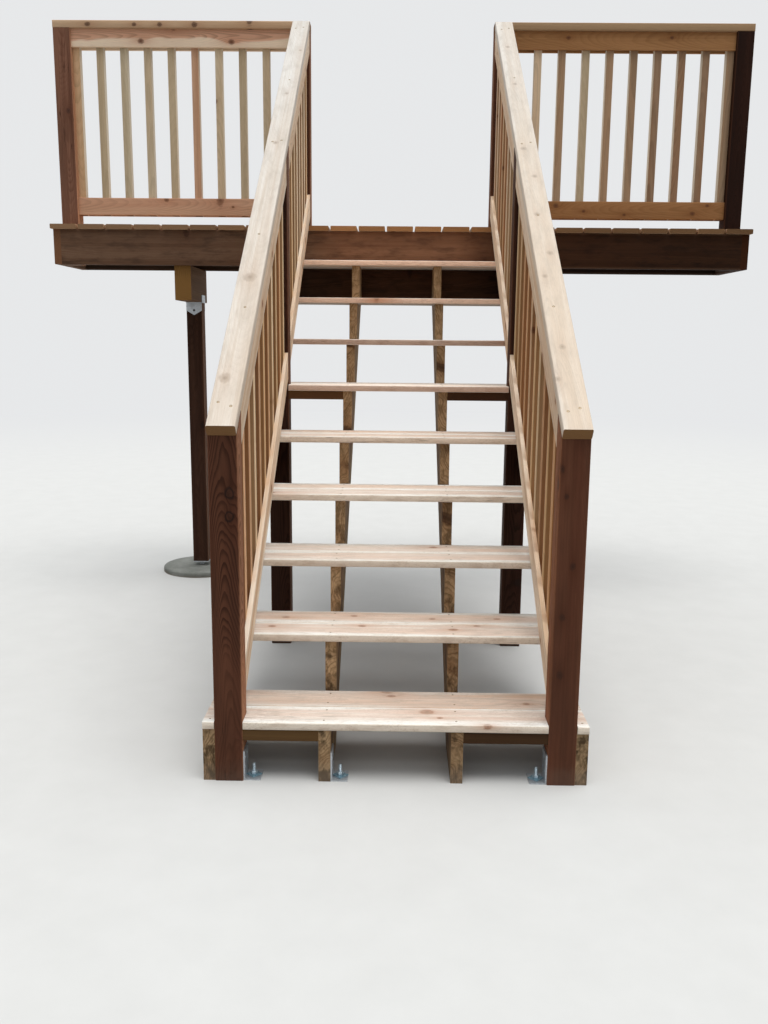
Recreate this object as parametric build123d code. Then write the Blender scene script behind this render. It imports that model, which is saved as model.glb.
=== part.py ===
from build123d import *
from math import atan2, cos, sin
import os

# Wooden deck stairs: nine open treads on four sawtooth stringers, a guard on each side, and the
# front bay of the deck that the flight lands on. Everything is in millimetres, with +Z up, +X to
# the right of someone who faces the flight and +Y in the direction of climbing.

# Lumber, dressed sizes
INCH = 25.4
board_thickness = 1.0 * INCH
board_width = 5.5 * INCH
two_by = 1.5 * INCH
post_size = 3.5 * INCH
four_wide = 3.5 * INCH
eight_wide = 7.25 * INCH
twelve_wide = 11.25 * INCH
baluster_size = 1.5 * INCH
rail_board_thickness = 0.625 * INCH

# Flight
rise = 198.0
run = 267.0
tread_count = 9
stair_width = 48.0 * INCH
board_gap = 3.2
nosing = 19.0
first_tread_lead = 19.0
stringer_setback = 4.0
inner_stringer_spacing = 420.0
inner_stringer_shift = -14.0
board_edge_radius = 4.0
fit_gap = 1.0

# Stair guards
guard_height_foot = 969.0
guard_height_head = 989.0
cap_thickness = 1.5 * INCH
cap_overhang = 1.0 * INCH
rail_clearance = 12.7
rail_inset = 1.5
mid_post_tread = 6
lower_bay_balusters = 11
upper_bay_balusters = 9

# Front bay of the deck
deck_frame_width = 144.0 * INCH
deck_overhang = 19.0
deck_side_overhang = 11.0
deck_board_count = 25
joist_spacing = 16.0 * INCH
joist_bays = 1
deck_rail_gap = 56.0
deck_balusters = 10

# Beam, its post and the pier under the left side of the deck
beam_offset = 46.4 * INCH
beam_setback = 19.0
beam_post_setback = 290.0
pier_radius = 229.0
pier_height = 30.0
pier_edge_radius = 12.0
post_standoff = 28.0
base_plate_thickness = 6.0
base_stem_radius = 12.0
cap_plate_thickness = 3.0
cap_plate_drop = 70.0
cap_plate_rise = 40.0
cap_plate_point = 26.0

# Foot brackets
bracket_height = 98.0
bracket_foot = 54.0
bracket_width = 70.0
bracket_thickness = 5.0
bracket_inset = 5.0
anchor_hole_radius = 8.0

# Worked-out sizes
slope = rise / run
pitch = atan2(rise, run)
tread_depth = 2 * board_width + board_gap
half_width = stair_width / 2
post_outer_x = half_width - two_by
post_inner_x = post_outer_x - post_size
rail_thickness = baluster_size + 2 * rail_board_thickness
guard_centre_x = post_inner_x + rail_inset + rail_thickness / 2
deck_top = (tread_count + 1) * rise
joist_top = deck_top - board_thickness
joist_bottom = joist_top - eight_wide
head_post_y = tread_count * run + first_tread_lead + nosing + two_by


def nosing_y(step):
    """Front edge of a tread; the first one stands forward, level with the newel posts."""
    return 0.0 if step == 1 else (step - 1) * run + first_tread_lead


def riser_y(step):
    """Upright cut of the stringers under the front of a tread."""
    return stringer_setback if step == 1 else nosing_y(step) + nosing


def seat_z(step):
    """Level cut of the stringers that a tread lies on."""
    return step * rise - board_thickness


def nosing_line(y):
    return rise + (y - first_tread_lead) * slope


def cap_top(y):
    return nosing_line(y) + guard_height_foot + (guard_height_head - guard_height_foot) * y / head_post_y


guard_pitch = atan2(cap_top(head_post_y) - cap_top(0.0), head_post_y)
rail_rise = four_wide / cos(guard_pitch)
cap_rise = cap_thickness / cos(guard_pitch)


def cap_under(y):
    return cap_top(y) - cap_rise


def sub_rail_under(y):
    return cap_under(y) - rail_rise


def bottom_rail_under(y):
    return nosing_line(y) + rail_clearance


def bottom_rail_top(y):
    return bottom_rail_under(y) + rail_rise


rim_y = head_post_y - two_by
mid_post_y = riser_y(mid_post_tread)
deck_back_y = rim_y + joist_bays * joist_spacing + two_by
deck_guard_y = head_post_y + post_size - rail_inset - rail_thickness / 2
hanger_bottom = joist_bottom - eight_wide
deck_cap_top = cap_top(head_post_y)
deck_cap_under = deck_cap_top - cap_thickness
corner_outer_x = deck_frame_width / 2
corner_inner_x = corner_outer_x - post_size
frame_outer_x = corner_outer_x + two_by


def block(x, y, z):
    """A squared board, from its (low, high) limits along each axis."""
    size = (x[1] - x[0], y[1] - y[0], z[1] - z[0])
    centre = ((x[0] + x[1]) / 2, (y[0] + y[1]) / 2, (z[0] + z[1]) / 2)
    return Pos(*centre) * Box(*size)


def side_cut(outline, x):
    """A board whose side view is an outline of (y, z) points, from one x to the other."""
    face = make_face(Plane.YZ.offset(x[0]) * Polyline(*outline, close=True))
    return extrude(face, x[1] - x[0], dir=(1, 0, 0))


def sloped(y, under, over, x):
    """A board between two sloping lines, cut upright at both ends."""
    return side_cut([(y[0], under(y[0])), (y[1], under(y[1])), (y[1], over(y[1])), (y[0], over(y[0]))], x)


def eased_board(x, y, z):
    """A decking board with its four long edges rounded; it lies along its longer side."""
    board = block(x, y, z)
    along = Axis.X if x[1] - x[0] > y[1] - y[0] else Axis.Y
    return fillet(board.edges().filter_by(along), board_edge_radius)


def joined(boards):
    """Boards that touch, as one solid."""
    return boards[0].fuse(*boards[1:])


def mirrored(side, x):
    """Limits along X for the left (-1) or right (+1) side, from those on the right."""
    return x if side > 0 else (-x[1], -x[0])


def centred(middle, size):
    return (middle - size / 2, middle + size / 2)


# Posts


def post_footprint(side, y):
    return mirrored(side, (post_inner_x, post_outer_x)), (y, y + post_size)


def sloped_post(side, y, bottom):
    """A guard post cut to the slope of the cap that lies on it."""
    x, span = post_footprint(side, y)
    outline = [(span[0], bottom), (span[1], bottom), (span[1], cap_under(span[1])), (span[0], cap_under(span[0]))]
    return side_cut(outline, x)


def deck_post(x, bottom):
    return block(x, (head_post_y, head_post_y + post_size), (bottom, deck_cap_under))


def post_hole(x, y, z):
    """The room that a board leaves for a post."""
    grown = [(low - fit_gap, high + fit_gap) for low, high in (x, y)]
    return block(*grown, (z[0] - board_thickness, z[1] + board_thickness))


# Treads


def tread(step):
    """Two boards side by side; the front one is notched where guard posts pass."""
    front = nosing_y(step)
    z = (seat_z(step), step * rise)
    x = (-half_width, half_width)
    boards = []
    for row in range(2):
        start = front + row * (board_width + board_gap)
        boards.append(eased_board(x, (start, start + board_width), z))
    post_y = {1: nosing_y(1), mid_post_tread: mid_post_y}.get(step)
    if post_y is not None:
        for side in (-1, 1):
            post_x, span = post_footprint(side, post_y)
            boards[0] -= post_hole(post_x, (front - board_width, span[1]), z)
    return Compound(boards)


# Stringers


def stringer_outline():
    """Side view of a sawtooth stringer: level and upright cuts above, one straight edge below."""
    lower_drop = twelve_wide / cos(pitch)
    tip_line = seat_z(tread_count + 1)
    head_low = tip_line - lower_drop
    foot_back = rim_y - head_low / slope
    points = [(riser_y(1), 0.0)]
    for step in range(1, tread_count + 1):
        points += [(riser_y(step), seat_z(step)), (riser_y(step + 1), seat_z(step))]
    return points + [(rim_y, head_low), (foot_back, 0.0)]


def stringer(x_middle):
    return side_cut(stringer_outline(), centred(x_middle, two_by))


# Guards


def baluster_rows(low, high, count):
    """Middles of the balusters in a bay; the first and last stand against its posts."""
    first, last = low + baluster_size / 2, high - baluster_size / 2
    return [first + (last - first) * i / (count - 1) for i in range(count)]


def rail_sides(middle):
    """Limits of the two boards of a rail, which hold the balusters between them."""
    offset = (baluster_size + rail_board_thickness) / 2
    return [centred(middle + side * offset, rail_board_thickness) for side in (-1, 1)]


def stair_guard(side, y, count):
    """One bay of the stair guard: balusters between the boards of a sub-rail and of a bottom rail."""
    middle = side * guard_centre_x
    boards = []
    for x in rail_sides(middle):
        boards.append(sloped(y, sub_rail_under, cap_under, x))
        boards.append(sloped(y, bottom_rail_under, bottom_rail_top, x))
    for row in baluster_rows(y[0], y[1], count):
        limits = centred(row, baluster_size)
        boards.append(sloped(limits, bottom_rail_under, cap_under, centred(middle, baluster_size)))
    return joined(boards)


def stair_cap(side):
    """The flat board on top of a stair guard: square-cut at the foot, plumb at the deck's cap."""
    front = -cap_overhang
    outline = [
        (front, cap_top(front)),
        (front + cap_thickness * sin(guard_pitch), cap_top(front) - cap_thickness * cos(guard_pitch)),
        (head_post_y, cap_under(head_post_y)),
        (head_post_y, cap_top(head_post_y)),
    ]
    return side_cut(outline, mirrored(side, (post_inner_x, post_outer_x)))


def deck_guard(side):
    """One bay of the deck's front guard, between the corner post and the head post."""
    x = mirrored(side, (post_outer_x, corner_inner_x))
    low = deck_top + deck_rail_gap
    high = deck_cap_under
    boards = []
    for y in rail_sides(deck_guard_y):
        boards.append(block(x, y, (low, low + four_wide)))
        boards.append(block(x, y, (high - four_wide, high)))
    for row in baluster_rows(x[0], x[1], deck_balusters):
        boards.append(block(centred(row, baluster_size), centred(deck_guard_y, baluster_size), (low, high)))
    return joined(boards)


def deck_cap(side):
    x = mirrored(side, (post_inner_x, corner_outer_x))
    return block(x, (head_post_y, head_post_y + post_size), (deck_cap_under, deck_cap_top))


# Boards under the treads and the deck


def blocking(step):
    """Flat blocks under a tread, from each post to the nearer inner stringer."""
    front = riser_y(step)
    z = (seat_z(step) - two_by, seat_z(step))
    near = inner_stringer_spacing / 2 + two_by / 2
    blocks = []
    for side in (-1, 1):
        reach = near + side * inner_stringer_shift
        blocks.append(block(mirrored(side, (reach, post_inner_x)), (front, front + four_wide), z))
    return Compound(blocks)


def decking():
    """The deck's boards, laid front to back and notched around the four posts of the front guard."""
    left = -frame_outer_x - deck_side_overhang
    gap = (-2 * left - deck_board_count * board_width) / (deck_board_count - 1)
    y = (rim_y - deck_overhang, deck_back_y)
    z = (joist_top, deck_top)
    post_y = (head_post_y, head_post_y + post_size)
    posts = [mirrored(side, x) for side in (-1, 1) for x in ((post_inner_x, post_outer_x), (corner_inner_x, corner_outer_x))]
    boards = []
    for row in range(deck_board_count):
        start = left + row * (board_width + gap)
        board = eased_board((start, start + board_width), y, z)
        for x in posts:
            if x[0] - fit_gap < start + board_width and x[1] + fit_gap > start:
                board -= post_hole(x, post_y, z)
        boards.append(board)
    return Compound(boards)


def joist(y):
    return block((-corner_outer_x, corner_outer_x), (y, y + two_by), (joist_bottom, joist_top))


def side_band(side):
    """The board that closes the deck frame: a band on the left, the ledger on the right."""
    return block(mirrored(side, (corner_outer_x, frame_outer_x)), (rim_y, deck_back_y), (joist_bottom, joist_top))


# Beam, post, hardware and pier

beam_x = centred(-beam_offset, four_wide)
beam_post_y = (rim_y + beam_post_setback, rim_y + beam_post_setback + post_size)
beam_post_middle = (beam_post_y[0] + beam_post_y[1]) / 2
beam_bottom = joist_bottom - eight_wide
beam_post_bottom = pier_height + post_standoff


def beam():
    return block(beam_x, (rim_y + beam_setback, deck_back_y), (beam_bottom, joist_bottom))


def beam_post():
    return block(beam_x, beam_post_y, (beam_post_bottom, beam_bottom - cap_plate_thickness))


def post_cap():
    """A bent steel cap: a seat between beam and post, cheeks up the beam, pointed tongues down the post."""
    seat_z = (beam_bottom - cap_plate_thickness, beam_bottom)
    grown = (beam_x[0] - cap_plate_thickness, beam_x[1] + cap_plate_thickness)
    cap = block(grown, beam_post_y, seat_z)
    for cheek in ((grown[0], beam_x[0]), (beam_x[1], grown[1])):
        cap += block(cheek, beam_post_y, (seat_z[0], beam_bottom + cap_plate_rise))
    low = seat_z[0] - cap_plate_drop
    outline = [
        (beam_x[0], beam_bottom),
        (beam_x[0], low + cap_plate_point),
        (-beam_offset, low),
        (beam_x[1], low + cap_plate_point),
        (beam_x[1], beam_bottom),
    ]
    for start in (beam_post_y[0] - cap_plate_thickness, beam_post_y[1]):
        face = make_face(Plane.XZ.offset(-start) * Polyline(*outline, close=True))
        cap += extrude(face, cap_plate_thickness, dir=(0, 1, 0))
    return cap


def post_base():
    """A plate under the post on a short stem that stands on the pier."""
    middle = Pos(-beam_offset, beam_post_middle, 0)
    plate_bottom = beam_post_bottom - base_plate_thickness
    plate = block(beam_x, beam_post_y, (plate_bottom, beam_post_bottom))
    stem_height = plate_bottom - pier_height
    stem = middle * Pos(0, 0, pier_height + stem_height / 2) * Cylinder(base_stem_radius, stem_height)
    return plate + stem


def pier():
    """The part of the round pier that stands out of the ground, with its worn upper edge."""
    middle = Pos(-beam_offset, beam_post_middle, pier_height / 2)
    cast = Cylinder(pier_radius, pier_height)
    return middle * fillet(cast.edges().sort_by(Axis.Z)[-1], pier_edge_radius)


def foot_bracket(x, facing):
    """A steel angle against an upright face at x, with an anchor hole through its foot."""
    y = (bracket_inset, bracket_inset + bracket_width)
    leg = tuple(sorted((x, x + facing * bracket_thickness)))
    foot = tuple(sorted((x, x + facing * bracket_foot)))
    angle = block(leg, y, (0, bracket_height)) + block(foot, y, (0, bracket_thickness))
    hole_x = x + facing * (bracket_foot + bracket_thickness) / 2
    return angle - Pos(hole_x, (y[0] + y[1]) / 2, 0) * Cylinder(anchor_hole_radius, bracket_foot)


def foot_brackets():
    inner_left_face = inner_stringer_shift - inner_stringer_spacing / 2 + two_by / 2
    places = ((-post_inner_x, 1), (inner_left_face, 1), (post_inner_x, -1))
    return Compound([foot_bracket(x, facing) for x, facing in places])


# The whole assembly


def all_pieces():
    pieces = {}
    for step in range(1, tread_count + 1):
        pieces[f"tread_{step}"] = tread(step)
    outer_x = half_width - two_by / 2
    pieces["outer_stringer_left"] = stringer(-outer_x)
    pieces["inner_stringer_left"] = stringer(inner_stringer_shift - inner_stringer_spacing / 2)
    pieces["inner_stringer_right"] = stringer(inner_stringer_shift + inner_stringer_spacing / 2)
    pieces["outer_stringer_right"] = stringer(outer_x)
    for side, name in ((-1, "left"), (1, "right")):
        pieces[f"newel_post_{name}"] = sloped_post(side, 0.0, 0.0)
        pieces[f"mid_post_{name}"] = sloped_post(side, mid_post_y, 0.0)
        head_x, _ = post_footprint(side, head_post_y)
        pieces[f"head_post_{name}"] = deck_post(head_x, hanger_bottom)
        pieces[f"corner_post_{name}"] = deck_post(mirrored(side, (corner_inner_x, corner_outer_x)), joist_bottom)
        lower_bay = (post_size, mid_post_y)
        upper_bay = (mid_post_y + post_size, head_post_y)
        pieces[f"lower_guard_{name}"] = stair_guard(side, lower_bay, lower_bay_balusters)
        pieces[f"upper_guard_{name}"] = stair_guard(side, upper_bay, upper_bay_balusters)
        pieces[f"stair_cap_{name}"] = stair_cap(side)
        pieces[f"deck_guard_{name}"] = deck_guard(side)
        pieces[f"deck_cap_{name}"] = deck_cap(side)
    pieces["blocking_low"] = blocking(1)
    pieces["blocking_high"] = blocking(mid_post_tread)
    pieces["hanger_board"] = block((-half_width, half_width), (rim_y, head_post_y), (hanger_bottom, joist_bottom))
    pieces["front_rim"] = joist(rim_y)
    pieces["back_joist"] = joist(deck_back_y - two_by)
    pieces["side_band"] = side_band(-1)
    pieces["ledger"] = side_band(1)
    pieces["decking"] = decking()
    pieces["beam"] = beam()
    pieces["beam_post"] = beam_post()
    pieces["post_cap"] = post_cap()
    pieces["post_base"] = post_base()
    pieces["pier"] = pier()
    pieces["foot_brackets"] = foot_brackets()
    return pieces


def main():
    # The origin is on the ground at the middle of the whole footprint, from the ends of the caps
    # to the back of the deck or of the pier, whichever reaches further.
    footprint_middle = (max(deck_back_y, beam_post_middle + pier_radius) - cap_overhang) / 2
    os.makedirs("parts", exist_ok=True)
    for name, piece in all_pieces().items():
        export_step(Pos(0, -footprint_middle, 0) * piece, f"parts/{name}.step")


main()
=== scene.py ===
import math
import random

import bmesh
import bpy
from mathutils import Matrix, Vector


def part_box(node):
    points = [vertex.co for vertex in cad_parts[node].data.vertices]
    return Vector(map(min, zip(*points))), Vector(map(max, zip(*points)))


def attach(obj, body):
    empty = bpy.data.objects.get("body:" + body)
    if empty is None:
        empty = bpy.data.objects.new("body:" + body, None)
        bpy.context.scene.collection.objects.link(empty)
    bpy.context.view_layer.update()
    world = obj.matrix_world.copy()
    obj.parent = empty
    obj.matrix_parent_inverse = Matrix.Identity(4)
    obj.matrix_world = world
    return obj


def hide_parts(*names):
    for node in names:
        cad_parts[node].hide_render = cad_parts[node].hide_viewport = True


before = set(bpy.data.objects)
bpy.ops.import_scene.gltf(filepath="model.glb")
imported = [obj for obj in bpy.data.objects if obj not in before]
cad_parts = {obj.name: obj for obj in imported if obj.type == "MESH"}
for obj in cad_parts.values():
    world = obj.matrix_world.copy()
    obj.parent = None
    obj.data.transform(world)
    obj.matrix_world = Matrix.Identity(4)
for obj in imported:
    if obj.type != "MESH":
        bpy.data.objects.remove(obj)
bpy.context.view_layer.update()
chance = random.Random(41)

# Sizes of the lumber and of the flight, in metres, as in the solids
INCH = 0.0254
board_thickness = 1.0 * INCH
board_width = 5.5 * INCH
two_by = 1.5 * INCH
post_size = 3.5 * INCH
four_wide = 3.5 * INCH
twelve_wide = 11.25 * INCH
baluster_size = 1.5 * INCH
rail_board_thickness = 0.625 * INCH
rail_thickness = baluster_size + 2 * rail_board_thickness
rise, run, tread_count = 0.198, 0.267, 9
half_width = 24.0 * INCH
board_gap = 0.0032
nosing, first_tread_lead, stringer_setback = 0.019, 0.019, 0.004
guard_height_foot, guard_height_head = 0.969, 0.989
cap_overhang = 1.0 * INCH
rail_clearance = 0.0127
rail_inset = 0.0015
mid_post_tread = 6
deck_rail_gap = 0.056
deck_board_count = 25
lower_balusters, upper_balusters, deck_balusters = 11, 9, 10
fit_gap = 0.001
inner_stringer_x = (-0.224, 0.196)
bracket_thickness = 0.005

slope = rise / run
pitch = math.atan2(rise, run)
head_post_y = tread_count * run + first_tread_lead + nosing + two_by
rim_y = head_post_y - two_by
deck_top = (tread_count + 1) * rise
post_outer_x = half_width - two_by
post_inner_x = post_outer_x - post_size
post_centre_x = (post_outer_x + post_inner_x) / 2
guard_centre_x = post_inner_x + rail_inset + rail_thickness / 2
deck_guard_y = head_post_y + post_size - rail_inset - rail_thickness / 2
# The solids have their origin at the middle of the footprint; the flight starts this far in front.
flight_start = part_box("newel_post_left")[0].y


def nosing_y(step):
    return 0.0 if step == 1 else (step - 1) * run + first_tread_lead


def riser_y(step):
    return stringer_setback if step == 1 else nosing_y(step) + nosing


def seat_z(step):
    return step * rise - board_thickness


def nosing_line(y):
    return rise + (y - first_tread_lead) * slope


def cap_top(y):
    return nosing_line(y) + guard_height_foot + (guard_height_head - guard_height_foot) * y / head_post_y


guard_pitch = math.atan2(cap_top(head_post_y) - cap_top(0.0), head_post_y)
rail_rise = four_wide / math.cos(guard_pitch)
cap_rise = two_by / math.cos(guard_pitch)


def cap_under(y):
    return cap_top(y) - cap_rise


def sub_rail_under(y):
    return cap_under(y) - rail_rise


def bottom_rail_under(y):
    return nosing_line(y) + rail_clearance


def bottom_rail_top(y):
    return bottom_rail_under(y) + rail_rise


mid_post_y = riser_y(mid_post_tread)
deck_cap_top = cap_top(head_post_y)
deck_cap_under = deck_cap_top - two_by

touching = 1e-6
sharp_angle = math.radians(35)

UP = Vector((0, 0, 1))
RIGHT = Vector((1, 0, 0))
BACK = Vector((0, 1, 0))
SLOPE = Vector((0, math.cos(guard_pitch), math.sin(guard_pitch)))
STEP_SLOPE = Vector((0, math.cos(pitch), math.sin(pitch)))


def at(x, y, z):
    """A point of the flight, y counted from the front of the newel posts."""
    return Vector((x, y + flight_start, z))


def in_scene(name, data):
    thing = bpy.data.objects.new(name, data)
    bpy.context.scene.collection.objects.link(thing)
    return thing


# Camera, at the place that the edges of treads, stringers and posts give

view = bpy.data.cameras.new("camera")
view.sensor_width = 36.0
view.lens = 33.0028
camera = in_scene("camera", view)
camera_right = (0.999866, 0.013595, 0.009153)
camera_up = (-0.011472, 0.181773, 0.983274)
camera_back = (0.011704, -0.983247, 0.181905)
camera_place = (-0.00897, -4.27033, 1.39149)
rows = [[r, u, b, p] for r, u, b, p in zip(camera_right, camera_up, camera_back, camera_place)]
camera.matrix_world = Matrix(rows + [[0, 0, 0, 1]])
view.clip_start, view.clip_end = 0.05, 200.0
bpy.context.scene.camera = camera
bpy.context.scene.view_settings.view_transform = "Standard"


# Shader helpers


def plug(tree, entry, value):
    """Links a wire to a socket, or gives the socket a value."""
    if isinstance(value, Wire):
        tree.links.new(value.socket, entry)
    else:
        entry.default_value = value


def operator(operation, swap=False):
    return lambda self, other: self.math(operation, other, swap=swap)


class Wire:
    """A socket that can be added, multiplied and so on with numbers and other sockets."""

    def __init__(self, tree, socket):
        self.tree, self.socket = tree, socket

    def math(self, operation, *others, swap=False):
        node = self.tree.nodes.new("ShaderNodeMath")
        node.operation = operation
        terms = [self, *others]
        if swap:
            terms.reverse()
        for term, entry in zip(terms, node.inputs):
            plug(self.tree, entry, term)
        return Wire(self.tree, node.outputs[0])

    __add__ = __radd__ = operator("ADD")
    __mul__ = __rmul__ = operator("MULTIPLY")
    __sub__, __rsub__ = operator("SUBTRACT"), operator("SUBTRACT", swap=True)
    __truediv__, __rtruediv__ = operator("DIVIDE"), operator("DIVIDE", swap=True)

    def clamped(self):
        return self.math("MAXIMUM", 0.0).math("MINIMUM", 1.0)


class Finish:
    """The nodes of a material, or of the air around the stairs."""

    def __init__(self, owner):
        owner.use_nodes = True
        self.owner = owner
        self.tree = owner.node_tree
        self.tree.nodes.clear()

    def node(self, kind, settings=None, entries=None, output=0):
        """Adds a node: its settings first, then the values or links of its sockets."""
        node = self.tree.nodes.new("ShaderNode" + kind)
        for key, value in (settings or {}).items():
            if key == "stops":
                self.set_stops(node.color_ramp, value)
            elif key == "ramp":
                node.color_ramp.interpolation = value
            else:
                setattr(node, key, value)
        for key, value in (entries or {}).items():
            plug(self.tree, node.inputs[key], value)
        if output is None:
            return node
        return Wire(self.tree, node.outputs[output])

    def set_stops(self, ramp, stops):
        while len(ramp.elements) < len(stops):
            ramp.elements.new(1.0)
        for element, (place, colour) in zip(ramp.elements, stops):
            element.position = place
            element.color = (*colour, 1.0)

    def attribute(self, name):
        return self.node("Attribute", {"attribute_name": name}, output="Vector")

    def parts(self, vector):
        node = self.node("SeparateXYZ", None, {0: vector}, output=None)
        return [Wire(self.tree, socket) for socket in node.outputs]

    def joined(self, x, y, z):
        return self.node("CombineXYZ", None, {0: x, 1: y, 2: z})

    def vector(self, operation, first, second, output=0):
        return self.node("VectorMath", {"operation": operation}, {0: first, 1: second}, output)

    def noise(self, vector, scale=(1, 1, 1), detail=2.0, roughness=0.5, distortion=0.0):
        entries = {"Vector": self.vector("MULTIPLY", vector, scale), "Scale": 1.0, "Detail": detail,
                   "Roughness": roughness, "Distortion": distortion}
        return self.node("TexNoise", None, entries)

    def blend(self, factor, first, second, mode="MIX"):
        settings = {"data_type": "RGBA", "blend_type": mode, "clamp_factor": True}
        entries = {0: factor}
        for key, colour in ((6, first), (7, second)):
            entries[key] = colour if isinstance(colour, Wire) else (*colour, 1.0)
        return self.node("Mix", settings, entries, output=2)

    def tinted(self, colour, tint):
        """A colour multiplied by another, or by a number."""
        if not isinstance(tint, (Wire, tuple)):
            tint = (tint, tint, tint)
        if isinstance(colour, Wire) or isinstance(tint, Wire):
            return self.blend(1.0, colour, tint, "MULTIPLY")
        return tuple(min(1.0, c * t) for c, t in zip(colour, tint))

    def step(self, value, low, high):
        """0 below low, 1 above high, smooth in between; the other way round when low is above high."""
        settings = {"interpolation_type": "SMOOTHSTEP"}
        entries = {"Value": value, "From Min": low, "From Max": high}
        if low > high:
            entries.update({"From Min": high, "From Max": low, "To Min": 1.0, "To Max": 0.0})
        return self.node("MapRange", settings, entries)

    def finish(self, colour, roughness, height, depth, strength, metallic=0.0, specular=0.5):
        bump = self.node("Bump", None, {"Height": height, "Distance": depth, "Strength": strength})
        entries = {"Base Color": colour, "Roughness": roughness, "Metallic": metallic,
                   "Specular IOR Level": specular, "Normal": bump}
        shader = self.node("BsdfPrincipled", None, entries)
        self.node("OutputMaterial", None, {"Surface": shader}, output=None)
        return self.owner


def nearer(first, second):
    """The smaller of each two distances."""
    return [one.math("MINIMUM", other) for one, other in zip(first, second)]


def marked_knots(f, marks, lie):
    """Knots at named places: how far the nearest is in knot radii, round and stretched along the grain."""
    place = f.node("TexCoord", output="Object")
    squares = []
    for x, y, z, radius in marks:
        away = f.vector("SUBTRACT", place, tuple(at(x, y, z)))
        along = f.vector("DOT_PRODUCT", away, lie, "Value")
        square = f.vector("DOT_PRODUCT", away, away, "Value")
        squares.append([(square - along * along * squeeze) / radius ** 2 for squeeze in (0.35, 0.90)])
    nearest = squares[0]
    for others in squares[1:]:
        nearest = nearer(nearest, others)
    return [square.math("SQRT") for square in nearest]


def chance_knots(f, along, across, through, share, size):
    """The same two distances for knots that come by chance, in a share of the cells of a coarse grid."""
    per_length, per_width = 2.3, 8.0
    out_of_reach = 99.0
    flat = f.joined(along * per_length, (across + through * 0.35) * per_width, 0.0)
    cell = f.node("TexVoronoi", {"voronoi_dimensions": "2D"}, {"Vector": flat, "Scale": 1.0}, output=None)
    draw = f.parts(Wire(f.tree, cell.outputs["Color"]))
    away = f.vector("SUBTRACT", flat, Wire(f.tree, cell.outputs["Position"]))
    away_along, away_across, _ = f.parts(away)
    away_along, away_across = away_along / per_length, away_across / per_width
    absent = f.step(draw[0], 1.0 - share + 0.001, 1.0 - share) * out_of_reach
    radius = size * (0.55 + draw[1] * 1.1)
    return [(away_along * away_along * squeeze + away_across * away_across).math("SQRT") / radius + absent
            for squeeze in (0.6, 0.09)]


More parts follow.
